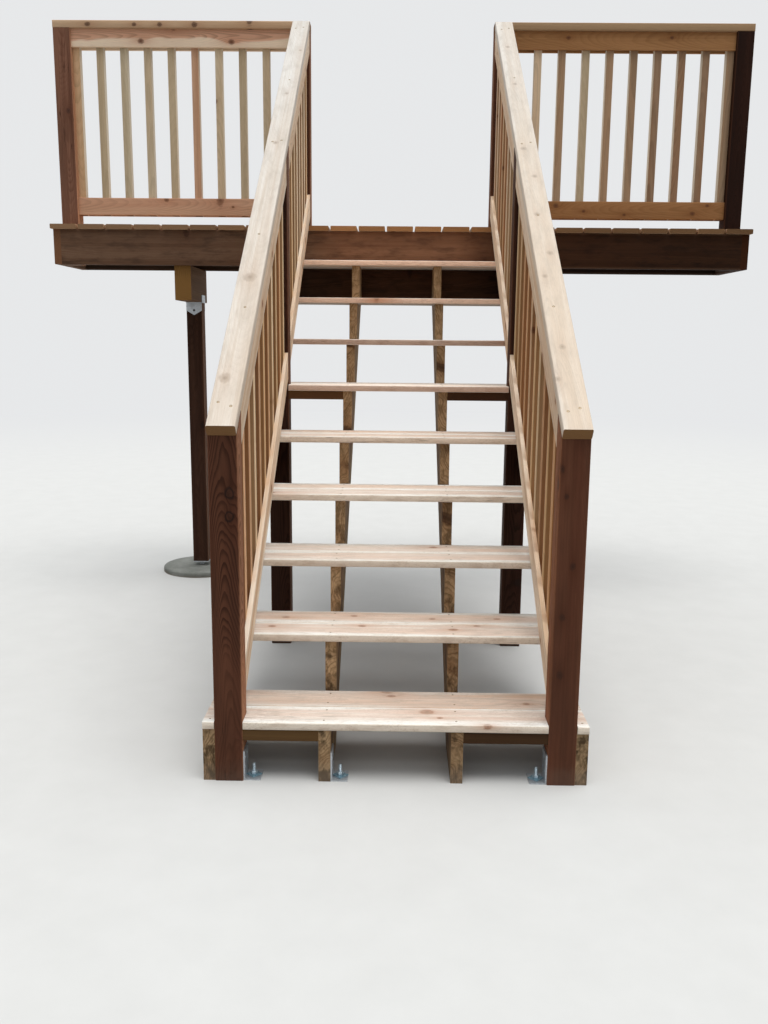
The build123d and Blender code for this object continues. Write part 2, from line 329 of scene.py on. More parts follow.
def wood(name, pale=None, deep=None, flush=None, palette=None, contrast=0.3, late=0.5, ring=0.0045,
         ring_depth=0.30, low_figure=1.0, wander=0.03, swirl=0.003, tilt=0.08, streak=0.5, knots=0.45,
         knot_size=0.008, knot_colour=(0.13, 0.055, 0.025), knot_blur=0.0, knot_core=0.80, knot_bark=0.35,
         halo_depth=0.6, marks=(), lie=(1, 0, 0), sap=None, sap_edge=0.6, sap_low=False, stain=None,
         stain_amount=0.0, stain_scale=(2.2, 14.0, 14.0), stain_span=(0.44, 0.70), stain_top=None,
         specks=0.0, checks=0.0, end_colour=(0.34, 0.20, 0.11), painted_side_light=None, painted_side_colour=None,
         painted_front_shade=None, painted_front_light_high=None, painted_height_light=None, tone_light_and_shade_stops=None, tint_ends_only=False,
         wear_and_highlight=0.25, foot_dust=0.0):
    """Sawn wood: rings around the log's heart, long streaks, knots, and a tone for each board.

    pale, deep and flush are its colours; a palette gives each board one colour of a list instead.
    late, ring and ring_depth are the late wood's shade, the rings' width and their strength.
    marks are knots at named places, and lie is the way that the board runs at them.
    The tints are painted light and shade: they multiply the colour on the sides, on the front, high up, and
    from left to right, where the stops also carry some of the wood's own tone.
    """
    f = Finish(bpy.data.materials.new(name))
    grain, span = f.attribute("grain"), f.attribute("span")
    tone, hue, character = f.parts(f.attribute("board"))
    cut, side_face, front_face = f.parts(f.attribute("face"))
    end = f.step(cut, 0.45, 0.95)
    along, across, through = f.parts(grain)
    right, _, height_up = f.parts(f.node("TexCoord", output="Object"))
    if palette:
        stops = [(i / len(palette), bar_colour) for i, bar_colour in enumerate(palette)]
        pale = f.node("ValToRGB", {"stops": stops, "ramp": "CONSTANT"}, {"Fac": hue})
        deep = f.tinted(pale, (0.70, 0.64, 0.58))
        flush = f.tinted(pale, (1.0, 0.80, 0.66))

    def noise(length, width, *how):
        """Noise stretched along the grain."""
        return f.noise(grain, (length, width, width), *how)

    def patches(length, width, low, high, *how):
        return f.step(noise(length, width, *how), low, high)

    near, far = chance_knots(f, along, across, through, knots, knot_size)
    if marks:
        near, far = nearer((near, far), marked_knots(f, marks, lie))
    near = near * (0.55 + noise(45.0, 120.0, 3.0, 0.6) * 0.9)
    core = f.step(near, 1.15 + knot_blur, 0.75 - knot_blur)
    bark = f.step(near, 0.7, 1.0) * f.step(near, 1.6, 1.05) * (1.0 - knot_blur)
    halo = 1.0 / (1.0 + far * far * 0.35)

    # Rings around the heart of the log, which leans a little in the board and bows round the knots
    slow = noise(1.1, 7.0, 2.0) - 0.5
    ripple = noise(5.0, 30.0, 2.0) - 0.5
    heart = (across * across + through * through).math("SQRT")
    lean = along * (character - 0.5) * (2.0 * tilt)
    place = heart + lean + slow * wander + ripple * swirl + halo * 0.012
    growth = f.noise(f.joined(place * 38.0, character * 9.0, 0.0), (1, 1, 1), 2.0, 0.6)
    phase = (place / ring + growth * 2.0).math("FRACT")
    late_wood = f.step(phase, 0.30, 0.88) * f.step(phase, 1.0, 0.93)
    bands = f.step(growth, 0.38, 0.62)

    # Long and fine streaks, broad bands, fibre and pores
    long_streak = patches(0.7, 34.0, 0.38, 0.64, 3.0, 0.6)
    fine_streak = patches(1.5, 95.0, 0.40, 0.66, 2.0, 0.6)
    broad = patches(0.5, 9.0, 0.38, 0.62)
    fibre = noise(12.0, 420.0, 2.0, 0.6)
    pores = patches(25.0, 900.0, 0.60, 0.75, 1.0)
    colour = f.blend(long_streak * streak * 0.7 + fine_streak * streak * 0.4 + broad * 0.35, pale, deep)

    def lay(amount, over):
        nonlocal colour
        colour = f.blend(amount, colour, over)

    def shade(amount, tint):
        lay(amount, f.tinted(colour, tint))

    lay(hue * 0.8 * broad.math("MAXIMUM", 0.45), flush)
    figure = ring_depth * (0.4 + hue * 0.6)
    if low_figure < 1.0:
        figure = figure * (low_figure + f.step(height_up, 0.25, 0.65) * (1.0 - low_figure))
    lay(late_wood * figure * (0.4 + bands * 0.8), f.tinted(deep, late))
    lay(bands * figure * 0.45, f.tinted(deep, (0.85, 0.80, 0.75)))
    if sap:
        # The paler wood at both edges of a board, or along its lower edge with a flame's outline
        _, edge, _ = f.parts(span)
        edge, length, sway = (edge * -1.0, 3.0, 2.4) if sap_low else (edge.math("ABSOLUTE"), 1.6, 1.1)
        drift = (noise(length, 10.0, 3.0) - 0.5) * sway
        pale_wood = f.step(edge + drift - halo * 0.5, sap_edge, sap_edge + 0.3)
        lay(pale_wood * 0.85 * (1.15 - hue * 0.5).clamped(), sap)
    lay((fibre - 0.5).math("MAXIMUM", 0.0) * 0.7, f.tinted(pale, 1.3))
    lay(pores * 0.25, f.tinted(deep, 0.6))
    lay(halo * halo_depth, f.tinted(deep, (0.80, 0.64, 0.55)))
    lay(core * knot_core + bark * knot_bark, knot_colour)
    pith = f.step(near, 0.55, 0.15) * (1.0 - knot_blur) * knot_core
    lay(pith * 0.6, f.tinted(knot_colour, 0.45))
    if stain:
        blotch = f.step(f.noise(grain, stain_scale, 3.0, 0.65), *stain_span)
        if stain_top:
            blotch = blotch * (0.25 + f.step(height_up, stain_top, 0.0) * 0.75)
        lay(blotch * stain_amount, stain)
    if specks:
        soiled = patches(7.0, 12.0, 0.40, 0.62)
        dots = patches(110.0, 260.0, 0.52, 0.62, 2.0, 0.7)
        lay(dots * (0.35 + soiled * 0.65) * specks, f.tinted(deep, (0.52, 0.50, 0.42)))
    crack = None
    if checks:
        line = noise(1.4, 60.0, 2.0, 0.4, 0.15) - 0.5
        area = patches(1.7, 5.0, 0.55, 0.66, 1.0)
        crack = f.step(line.math("ABSOLUTE"), 0.012, 0.004) * area * checks
        lay(crack, f.tinted(deep, 0.2))
    if end_colour:
        lay(end, f.blend(late_wood * 0.6 + fibre * 0.2, end_colour, f.tinted(end_colour, 0.5)))

    # Painted light and shade: tints of the faces, of the height and of the place from left to right
    # Painted light: the faces turned right and left are tinted lighter or darker
    if painted_side_light:
        to_left, to_right = painted_side_light
        shade(f.step(side_face, 0.5, 0.9), to_right)
        shade(f.step(side_face, -0.5, -0.9), to_left)
    # Painted light: the sides take a paler colour
    if painted_side_colour:
        lay(f.step(side_face.math("ABSOLUTE"), 0.5, 0.9) * 0.8, painted_side_colour)
    # Painted shade on the front and back faces, lighter above 1.5 m where a second tint is given
    if painted_front_shade:
        if painted_front_light_high:
            painted_front_shade = f.blend(f.step(height_up, 1.45, 1.55), painted_front_shade, painted_front_light_high)
        shade(f.step(front_face, 0.5, 0.9), painted_front_shade)
    # Painted light and shade from left to right, mixed with some of the wood's own tone
    if tone_light_and_shade_stops:
        reach = 4.0
        stops = [(0.5 + x / reach, tint) for x, tint in tone_light_and_shade_stops]
        spread = f.node("ValToRGB", {"stops": stops}, {"Fac": 0.5 + right / reach})
        shade(end if tint_ends_only else 1.0, spread)
    # Painted light: paler higher up
    if painted_height_light:
        shade(f.step(height_up, 1.1, 2.8), painted_height_light)
    colour = f.tinted(colour, 1.0 + (tone - 0.5) * contrast)

    # Handling wears the arrises paler, with a painted highlight on them too, and rain and feet leave dust low
    # down
    _, side, flat_side = [part.math("ABSOLUTE") for part in f.parts(span)]
    rubbed_and_lit_arrises = f.step(side * flat_side + (fibre - 0.5) * 0.06, 0.86, 0.98)
    lay(rubbed_and_lit_arrises * wear_and_highlight, f.tinted(pale, (1.25, 1.22, 1.18)))
    if foot_dust:
        grime = noise(14.0, 14.0, 4.0, 0.7)
        low = f.step(height_up + (grime - 0.5) * 0.10, 0.09, 0.0)
        lay(low * foot_dust, (0.30, 0.25, 0.20))
    roughness = (0.74 + (fibre - 0.5) * 0.25 + late_wood * 0.08 - core * 0.12 + end * 0.12).clamped()
    height = fibre * 0.35 + late_wood * 0.45 + core * 0.5 - pores * 0.3
    if crack is not None:
        height = height - crack * 1.5
    return f.finish(colour, roughness, height, 0.0009, 0.5, specular=0.12)


def zinc(name, pale, dark, tint=(0.30, 0.31, 0.32)):
    """Galvanised steel: spangle, dull patches and a bluish sheen."""
    f = Finish(bpy.data.materials.new(name))
    place = f.node("TexCoord", output="Object")
    spangle = f.node("TexVoronoi", None, {"Vector": place, "Scale": 260.0}, output="Color")
    grain = f.parts(spangle)[0]
    patch = f.noise(place, (45, 45, 45), 4.0, 0.6)
    scuff = f.step(f.noise(place, (240, 240, 60), 2.0, 0.7), 0.60, 0.72)
    colour = f.blend(grain * 0.6, dark, pale)
    colour = f.blend(f.step(patch, 0.45, 0.75) * 0.5, colour, tint)
    colour = f.blend(scuff * 0.5, colour, f.tinted(pale, 1.3))
    roughness = (0.34 + patch * 0.25 + grain * 0.08 + scuff * 0.1).clamped()
    return f.finish(colour, roughness, patch + scuff * 0.5, 0.0004, 0.3, metallic=0.8)


def fixing_steel(name, tint, metallic=0.85):
    """Plated fixings: slightly worn on the high spots."""
    f = Finish(bpy.data.materials.new(name))
    wear = f.noise(f.node("TexCoord", output="Object"), (300, 300, 300), 3.0, 0.6)
    colour = f.blend(f.step(wear, 0.4, 0.7), tint, f.tinted(tint, 0.55))
    return f.finish(colour, (0.32 + wear * 0.3).clamped(), wear, 0.0002, 0.3, metallic=metallic)


def cast_concrete(name):
    """Cast concrete: sand, pinholes, pale laitance and soil round the foot."""
    f = Finish(bpy.data.materials.new(name))
    place = f.node("TexCoord", output="Object")
    _, _, up = f.parts(place)
    cloud = f.noise(place, (9, 9, 9), 4.0, 0.6)
    sand = f.noise(place, (420, 420, 420), 3.0, 0.7)
    cell = f.node("TexVoronoi", None, {"Vector": place, "Scale": 95.0}, output="Distance")
    pits = f.step(cell, 0.16, 0.05)
    # The concrete's colours are kept dark as painted shade from the deck above
    colour = f.blend(f.step(cloud, 0.3, 0.7), (0.17, 0.178, 0.16), (0.27, 0.278, 0.255))
    colour = f.blend((sand - 0.5) * 0.9, colour, (0.42, 0.43, 0.40))
    colour = f.blend(pits * 0.7, colour, (0.16, 0.155, 0.14))
    soil = f.step(up + (cloud - 0.5) * 0.03, 0.014, 0.0)
    colour = f.blend(soil * 0.6, colour, (0.20, 0.16, 0.12))
    height = sand * 0.5 + cloud * 0.3 - pits
    return f.finish(colour, (0.82 + sand * 0.1).clamped(), height, 0.0015, 0.7, specular=0.3)


# The knots that stand out, each with its place on the flight and its radius

tread_knots = [
    (0.1026, 0.1044, 0.198, 0.017), (0.2906, 0.001, 0.195, 0.009), (-0.0293, 0.2751, 0.198, 0.013),
    (0.4348, 0.1843, 0.198, 0.008), (-0.0153, 0.239, 0.198, 0.01), (0.1427, 0.0567, 0.198, 0.007),
    (-0.3992, 0.4877, 0.396, 0.01), (-0.1539, 0.511, 0.396, 0.009), (0.1292, 0.4861, 0.396, 0.009),
    (0.3648, 0.4964, 0.396, 0.009), (-0.4356, 0.378, 0.396, 0.01), (-0.1204, 0.3915, 0.396, 0.01),
    (0.2851, 0.4088, 0.396, 0.009),
]
newel_knots = [
    (-0.508, 0.928, 0.012), (-0.5095, 0.8565, 0.011), (0.5085, 0.3685, 0.009), (0.507, 0.5545, 0.008),
    (0.487, 1.0135, 0.008), (0.505, 0.93, 0.006), (0.533, 0.715, 0.008),
]
post_knots = [(x, 0.0, z, radius) for x, z, radius in newel_knots] + [(-1.765, head_post_y, 2.563, 0.01)]
cap_knots = [
    (-0.526, 0.594, 0.017), (-0.541, 0.151, 0.015), (0.523, 0.29, 0.009), (0.49, 0.16, 0.008),
    (0.5071, 0.6116, 0.008), (0.5399, 0.7297, 0.009), (-0.5257, 1.783, 0.007), (-0.531, 1.398, 0.009),
    (-0.5015, 2.175, 0.007), (0.526, 1.876, 0.008), (0.512, 1.368, 0.01), (0.5366, 1.18, 0.008),
    (0.519, 0.945, 0.009), (0.523, 2.22, 0.009),
]
cap_marks = [(x, y, cap_top(y), radius) for x, y, radius in cap_knots]
rail_front = deck_guard_y - rail_thickness / 2


def on_rails(*knots):
    return [(x, rail_front, z, radius) for x, z, radius in knots]


sub_rail_knots = on_rails((-1.372, 2.914, 0.011), (-0.895, 2.912, 0.011))
bottom_rail_knots = on_rails((-1.262, 2.117, 0.009), (-0.903, 2.082, 0.006))
brown_rail_knots = on_rails(
    (0.868, 2.942, 0.008), (1.406, 2.945, 0.007), (0.837, 2.101, 0.009), (0.987, 2.074, 0.007),
    (1.571, 2.065, 0.009), (1.648, 2.107, 0.007), (1.206, 2.057, 0.006),
)
deck_cap_places = ((-1.084, 0.011), (-1.644, 0.01), (-1.399, 0.008), (-1.266, 0.009))
deck_cap_knots = [(x, head_post_y, 2.99, radius) for x, radius in deck_cap_places]

# Tints from left to right, each with its x in metres. They paint shade on the right-hand side and make the
# far left lighter; the redder middle of the rim and of the deck's ends is partly the wood's own colour.

deck_cap_tints = [(-0.6, (1.16, 1.19, 1.22)), (0.6, (0.92, 0.84, 0.73))]
post_tints = [
    (-1.85, (1.3, 1.5, 1.7)), (-0.8, (1.0, 1.0, 1.0)), (0.8, (1.0, 1.0, 1.0)), (1.85, (0.5, 0.35, 0.26)),
]
rim_tints = [
    (-1.0, (1.25, 1.24, 1.2)), (-0.5, (1.35, 1.26, 1.15)), (-0.3, (1.72, 1.45, 1.25)),
    (0.3, (1.72, 1.45, 1.25)), (0.6, (0.46, 0.31, 0.21)), (1.6, (0.27, 0.18, 0.11)),
]
block_tints = [(-0.1, (0.95, 0.9, 0.8)), (0.1, (0.46, 0.4, 0.4))]
deck_end_tints = [
    (-1.0, (0.92, 0.92, 0.96)), (-0.5, (1.4, 1.2, 0.96)), (0.4, (1.4, 1.2, 0.96)),
    (0.7, (0.64, 0.59, 0.54)),
]

# Woods

tread_looks = {
    "pale": (0.74, 0.72, 0.67), "deep": (0.64, 0.5, 0.415), "flush": (0.74, 0.48, 0.32), "late": 0.75,
    "ring": 0.0042, "ring_depth": 0.5, "streak": 0.72, "contrast": 0.35, "knot_colour": (0.33, 0.18, 0.115),
    "end_colour": (0.5, 0.36, 0.25), "marks": tread_knots, "sap": (0.79, 0.8, 0.765), "sap_edge": 0.55,
    "checks": 0.45, "wear_and_highlight": 0.3, "specks": 0.24, "stain": (0.5, 0.42, 0.35), "stain_amount": 0.45,
    "stain_scale": (16.0, 50.0, 50.0),
}
# Painted light and shade on the nosings: their fronts take a tint that is lighter above 1.5 m, and the upper
# treads' fronts are painted darker
treads_wood = wood(
    "cedar_treads", knots=0.12, painted_front_shade=(1.01, 0.9, 0.81), painted_front_light_high=(1.33, 1.05, 0.91),
    **tread_looks,
)
upper_treads_wood = wood("cedar_upper_treads", knots=0.35, painted_front_shade=(0.66, 0.5, 0.43), **tread_looks)
# Painted light: the caps turn a little bluer and paler higher up
caps_wood = wood(
    "cedar_caps", (0.72, 0.66, 0.59), (0.6, 0.505, 0.415), (0.68, 0.55, 0.42), late=0.85, ring=0.0042,
    ring_depth=0.36, streak=0.85, knots=0.0, knot_colour=(0.4, 0.31, 0.24), knot_blur=0.55, halo_depth=0.25,
    marks=cap_marks, lie=tuple(SLOPE), wear_and_highlight=0.35, end_colour=(0.27, 0.145, 0.063), stain=(0.45, 0.38, 0.31),
    stain_amount=0.35, stain_scale=(7.0, 24.0, 24.0), specks=0.08, painted_height_light=(0.97, 1.03, 1.1),
)
# Painted light and shade: the deck caps are lighter on the left and darker on the right, and their arrises
# carry a strong painted highlight with the wear
deck_caps_wood = wood(
    "cedar_deck_caps", (0.58, 0.43, 0.29), (0.42, 0.27, 0.165), (0.5, 0.31, 0.18), late=0.7, ring_depth=0.28,
    streak=0.55, knots=0.3, contrast=0.4, wear_and_highlight=0.65, knot_colour=(0.1, 0.05, 0.03),
    end_colour=(0.24, 0.13, 0.065), marks=deck_cap_knots, tone_light_and_shade_stops=deck_cap_tints,
)
stair_bar_colours = [
    (0.74, 0.53, 0.31), (0.71, 0.48, 0.27), (0.76, 0.58, 0.38), (0.69, 0.43, 0.24), (0.75, 0.55, 0.36),
    (0.66, 0.42, 0.25),
]
deck_bar_colours = [
    (0.57, 0.46, 0.315), (0.65, 0.555, 0.4), (0.74, 0.47, 0.32), (0.74, 0.63, 0.46), (0.68, 0.48, 0.3),
    (0.84, 0.73, 0.57), (0.41, 0.3, 0.205), (0.33, 0.225, 0.15),
]
# The colours of the deck's balusters, from left to right in each guard; the right guard's two darkest colours
# are painted shade
deck_bar_order = {-1: (4, 0, 1, 3, 0, 2, 3, 0, 3, 0), 1: (6, 5, 6, 0, 6, 6, 7, 7, 7, 6)}
# Painted light and shade: the balusters' front and back faces are darker, the faces turned right lighter and
# those turned left a little darker, and they grow paler higher up
stair_bars_wood = wood(
    "cedar_stair_bars", palette=stair_bar_colours, knots=0.2, knot_size=0.006, contrast=0.25,
    knot_colour=(0.2, 0.08, 0.035), painted_front_shade=(0.46, 0.36, 0.28),
    painted_side_light=((0.92, 0.93, 0.95), (1.2, 1.27, 1.35)), painted_height_light=(1.15, 1.28, 1.5),
)
# Painted light: the sides of the deck's balusters take a paler colour
deck_bars_wood = wood(
    "cedar_deck_bars", palette=deck_bar_colours, knots=0.25, knot_size=0.006, contrast=0.25,
    knot_colour=(0.14, 0.06, 0.03), painted_side_colour=(0.86, 0.78, 0.65),
)
stair_rails_wood = wood(
    "cedar_stair_rails", (0.88, 0.79, 0.67), (0.66, 0.46, 0.3), (0.8, 0.56, 0.37), ring_depth=0.32,
    streak=0.85, knots=0.7, contrast=0.2, wear_and_highlight=0.35, knot_colour=(0.3, 0.15, 0.08),
    end_colour=(0.5, 0.34, 0.22),
)
deck_rails_wood = wood(
    "cedar_deck_rails", (0.74, 0.48, 0.33), (0.54, 0.3, 0.19), (0.62, 0.34, 0.22), ring_depth=0.35,
    streak=0.75, knots=0.5, knot_size=0.009, knot_blur=0.25, knot_colour=(0.16, 0.065, 0.035),
    marks=bottom_rail_knots,
)
flame_rail_wood = wood(
    "cedar_flame_rail", (0.92, 0.6, 0.43), (0.62, 0.34, 0.22), (0.74, 0.42, 0.28), ring=0.0034,
    ring_depth=0.6, streak=0.75, knots=0.3, knot_size=0.009, knot_blur=0.25, knot_colour=(0.1, 0.035, 0.02),
    marks=sub_rail_knots, sap=(0.98, 0.86, 0.67), sap_edge=-0.05, sap_low=True,
)
# Darker brown rails for the right deck guard: partly their own wood, partly painted shade
brown_rails_wood = wood(
    "brown_cedar_rails", (0.42, 0.22, 0.095), (0.26, 0.125, 0.048), (0.38, 0.18, 0.075), streak=0.65,
    knots=0.4, knot_blur=0.25, knot_colour=(0.12, 0.05, 0.025), end_colour=(0.24, 0.13, 0.07),
    marks=brown_rail_knots,
)
# Painted light and shade: the posts' sides are tinted two to four times lighter than their fronts, and the
# stops darken the right-hand posts
post_looks = {
    "pale": (0.135, 0.057, 0.032), "deep": (0.064, 0.024, 0.013), "flush": (0.13, 0.042, 0.023), "tilt": 0.13,
    "knots": 0.3, "knot_size": 0.009, "marks": post_knots, "lie": (0, 0, 1), "stain": (0.045, 0.02, 0.012),
    "stain_amount": 0.4, "contrast": 0.6, "checks": 0.6, "end_colour": (0.12, 0.065, 0.04), "wear_and_highlight": 0.3,
    "foot_dust": 0.12, "tone_light_and_shade_stops": post_tints, "painted_side_light": ((1.95, 2.05, 1.85), (3.5, 4.2, 4.1)),
}
posts_wood = wood(
    "stained_posts", late=0.45, ring=0.0026, ring_depth=0.6, wander=0.07, streak=0.68,
    knot_colour=(0.04, 0.016, 0.01), **post_looks,
)
arched_post_wood = wood(
    "stained_arched_post", late=0.28, ring=0.0052, ring_depth=0.95, low_figure=0.3, wander=0.1, swirl=0.01,
    streak=0.55, knot_colour=(0.022, 0.009, 0.006), knot_core=0.3, knot_bark=1.0, **post_looks,
)
framing_wood = wood(
    "stained_framing", (0.155, 0.09, 0.058), (0.095, 0.05, 0.03), (0.15, 0.075, 0.045), late=0.6,
    ring=0.0048, ring_depth=0.45, streak=0.6, knot_size=0.01, contrast=0.25,
    knot_colour=(0.05, 0.022, 0.014), end_colour=(0.17, 0.08, 0.042), checks=0.5,
    stain=(0.045, 0.026, 0.018), stain_amount=0.55, stain_scale=(7.0, 22.0, 22.0), tone_light_and_shade_stops=rim_tints,
    wear_and_highlight=0.3,
)
stringers_wood = wood(
    "treated_stringers", (0.62, 0.43, 0.245), (0.24, 0.145, 0.072), (0.36, 0.21, 0.11), late=0.22,
    ring=0.0105, ring_depth=0.75, wander=0.16, swirl=0.024, streak=0.62, knots=0.5, knot_size=0.012,
    contrast=0.4, knot_colour=(0.07, 0.034, 0.018), end_colour=None, stain=(0.07, 0.043, 0.022),
    stain_amount=0.88, stain_top=1.5, stain_scale=(5.0, 20.0, 30.0), stain_span=(0.45, 0.64), wear_and_highlight=0.15,
    foot_dust=0.3,
)
blocks_wood = wood(
    "treated_blocks", (0.16, 0.095, 0.042), (0.1, 0.056, 0.024), (0.16, 0.064, 0.034), ring_depth=0.35,
    streak=0.6, knots=0.3, knot_size=0.006, contrast=0.2, wear_and_highlight=0.15, end_colour=None, tone_light_and_shade_stops=block_tints,
)
decking_wood = wood(
    "cedar_decking", (0.6, 0.42, 0.28), (0.44, 0.28, 0.17), (0.54, 0.31, 0.18), streak=0.6, knots=0.4,
    contrast=0.35, knot_colour=(0.14, 0.06, 0.03), end_colour=(0.34, 0.2, 0.105), tone_light_and_shade_stops=deck_end_tints,
    tint_ends_only=True,
)
beam_wood = wood(
    "treated_beam", (0.16, 0.085, 0.042), (0.1, 0.048, 0.022), (0.14, 0.075, 0.032), ring=0.009,
    ring_depth=0.5, knots=0.4, knot_size=0.012, contrast=0.2, checks=0.6, knot_colour=(0.05, 0.025, 0.014),
    end_colour=(0.25, 0.13, 0.04),
)

# Steel and concrete

zinc_steel = zinc("galvanised_steel", (0.62, 0.65, 0.68), (0.42, 0.45, 0.48))
washer_steel = zinc("washer_steel", (0.36, 0.52, 0.6), (0.2, 0.34, 0.42), (0.22, 0.3, 0.34))
screw_steel = fixing_steel("screw_steel", (0.38, 0.29, 0.18))
bolt_steel = fixing_steel("bolt_steel", (0.62, 0.72, 0.78))
hole_shadow = fixing_steel("hole_shadow", (0.03, 0.028, 0.026), 0.2)
pier_concrete = cast_concrete("pier_concrete")


# Board building


class Timber:
    """One visible piece made of boards, each with eased arrises and its own place in a log."""

    def __init__(self):
        self.points, self.faces = [], []
        self.grain, self.span, self.board, self.face = [], [], [], []

    def add(self, outline, thickness, middle, along, across, ease=0.003, tone=None, hue=None, character=None,
            hearted=False, heart=None):
        """A board: an outline of points along and across it, and its thickness about the middle."""
        through = along.cross(across)
        bm = bmesh.new()
        low = [bm.verts.new((a, b, -thickness / 2)) for a, b in outline]
        high = [bm.verts.new((a, b, thickness / 2)) for a, b in outline]
        count = len(outline)
        bm.faces.new(list(reversed(low)))
        bm.faces.new(high)
        for i in range(count):
            j = (i + 1) % count
            bm.faces.new((low[i], low[j], high[j], high[i]))
        bmesh.ops.recalc_face_normals(bm, faces=bm.faces[:])
        lengths = [a for a, _ in outline]
        widths = [b for _, b in outline]
        low_b, high_b = min(widths), max(widths)
        size = (max(lengths) - min(lengths), high_b - low_b, thickness)
        centre = ((max(lengths) + min(lengths)) / 2, (high_b + low_b) / 2, 0.0)
        arrises = []
        for edge in bm.edges:
            start, stop = (v.co for v in edge.verts)
            lies_along = abs(start.y - stop.y) < touching and abs(start.z - stop.z) < touching
            outside = min(abs(start.y - low_b), abs(start.y - high_b)) < touching
            if lies_along and outside:
                arrises.append(edge)
        if ease > 0 and arrises:
            bmesh.ops.bevel(bm, geom=arrises, offset=ease, segments=3, profile=0.5, affect="EDGES")
        draws = [chance.random() for _ in range(3)]
        tone, hue, character = [draw if given is None else given
                                for given, draw in zip((tone, hue, character), draws)]
        start_along = chance.uniform(0, 4)
        off = chance.uniform(0.03, 0.09) if hearted else chance.uniform(0.04, 0.15)
        off *= chance.choice((-1, 1))
        aside = chance.uniform(-0.45, 0.45) * max(size[1], size[2])
        flat_sawn = size[1] >= size[2]
        if heart is None:
            heart = (aside, off) if flat_sawn else (off, aside)
        base = len(self.points)
        bm.verts.index_update()
        for vertex in bm.verts:
            a, b, c = vertex.co
            self.points.append(middle + along * a + across * b + through * c)
            self.grain.append((a - centre[0] + start_along, b - centre[1] - heart[0], c - heart[1]))
            reach = [2 * o / s for o, s in zip((a - centre[0], b - centre[1], c), size)]
            self.span.append(reach if flat_sawn else [reach[0], reach[2], reach[1]])
            self.board.append((tone, hue, character))
        for face in bm.faces:
            self.faces.append([base + v.index for v in face.verts])
            normal = along * face.normal.x + across * face.normal.y + through * face.normal.z
            self.face += [(abs(face.normal.x), normal.x, abs(normal.y))] * len(face.verts)
        bm.free()

    def make(self, name, finish, slot, *nodes):
        mesh = new_mesh(name, self.points, self.faces, finish)
        layers = (("grain", "POINT", self.grain), ("span", "POINT", self.span),
                  ("board", "POINT", self.board), ("face", "CORNER", self.face))
        for label, domain, entries in layers:
            layer = mesh.attributes.new(label, "FLOAT_VECTOR", domain)
            layer.data.foreach_set("vector", [value for entry in entries for value in entry])
        place_piece(mesh, name, slot, *nodes)


def new_mesh(name, points, faces, finish):
    mesh = bpy.data.meshes.new(name)
    mesh.from_pydata([tuple(point) for point in points], [], [tuple(face) for face in faces])
    mesh.polygons.foreach_set("use_smooth", [True] * len(mesh.polygons))
    mesh.set_sharp_from_angle(angle=sharp_angle)
    mesh.materials.append(finish)
    return mesh


def place_piece(mesh, name, slot, *nodes):
    piece = in_scene(name, mesh)
    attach(piece, "root")
    if nodes:
        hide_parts(*nodes)


CORNERS = ((-1, -1), (1, -1), (1, 1), (-1, 1))


def bar(timber, x, y, z, **how):
    """A squared board from its (low, high) limits; it lies along its longest side."""
    sizes = [high - low for low, high in (x, y, z)]
    middle = at(*[(low + high) / 2 for low, high in (x, y, z)])
    ways = ((RIGHT, BACK, 0, 1, 2), (BACK, -RIGHT, 1, 0, 2), (UP, RIGHT, 2, 0, 1))
    along, across, *order = ways[sizes.index(max(sizes))]
    length, width, thickness = [sizes[i] for i in order]
    outline = [(a * length / 2, b * width / 2) for a, b in CORNERS]
    timber.add(outline, thickness, middle, along, across, **how)


def box_board(name, finish, slot, suffix="board", **how):
    """A squared board that fills its node's box."""
    low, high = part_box(name)
    timber = Timber()
    y = (low.y - flight_start, high.y - flight_start)
    bar(timber, (low.x, high.x), y, (low.z, high.z), **how)
    timber.make(f"{name}_{suffix}", finish, slot, name)


def side_board(timber, outline, x, thickness, slope_direction, **how):
    """A board seen from the side: an outline of (y, z) points, laid out along its slope."""
    across = RIGHT.cross(slope_direction)
    turned = []
    for y, z in outline:
        point = Vector((0, y, z))
        turned.append((point.dot(slope_direction), point.dot(across)))
    timber.add(turned, thickness, at(x, 0, 0), slope_direction, across, **how)


def sloped(timber, y, under, over, x, thickness, **how):
    outline = [(y[0], under(y[0])), (y[1], under(y[1])), (y[1], over(y[1])), (y[0], over(y[0]))]
    side_board(timber, outline, x, thickness, how.pop("direction", SLOPE), **how)


def mirrored(side, x):
    return x if side > 0 else (-x[1], -x[0])


def centred(middle, size):
    return (middle - size / 2, middle + size / 2)


SIDES = ((-1, "left"), (1, "right"))

# How far the arrises are eased
board_ease, post_ease, cap_ease, rail_ease, bar_ease = 0.004, 0.004, 0.005, 0.002, 0.0022


# Treads

# Tone and hue of the front and the back board, by step; the other boards take theirs by chance
front_board_looks = {1: (0.85, 0.05), 2: (0.62, 0.45), 3: (0.45, 0.45), 4: (0.70, 0.25), 5: (0.65, 0.60),
                     6: (1.45, 0.70), 7: (0.80, 0.70), 8: (0.15, 0.95), 9: (0.65, 0.95)}
back_board_looks = {1: (0.25, 1.30), 2: (0.45, 0.60), 3: (0.40, 0.50), 4: (0.80, 0.40)}
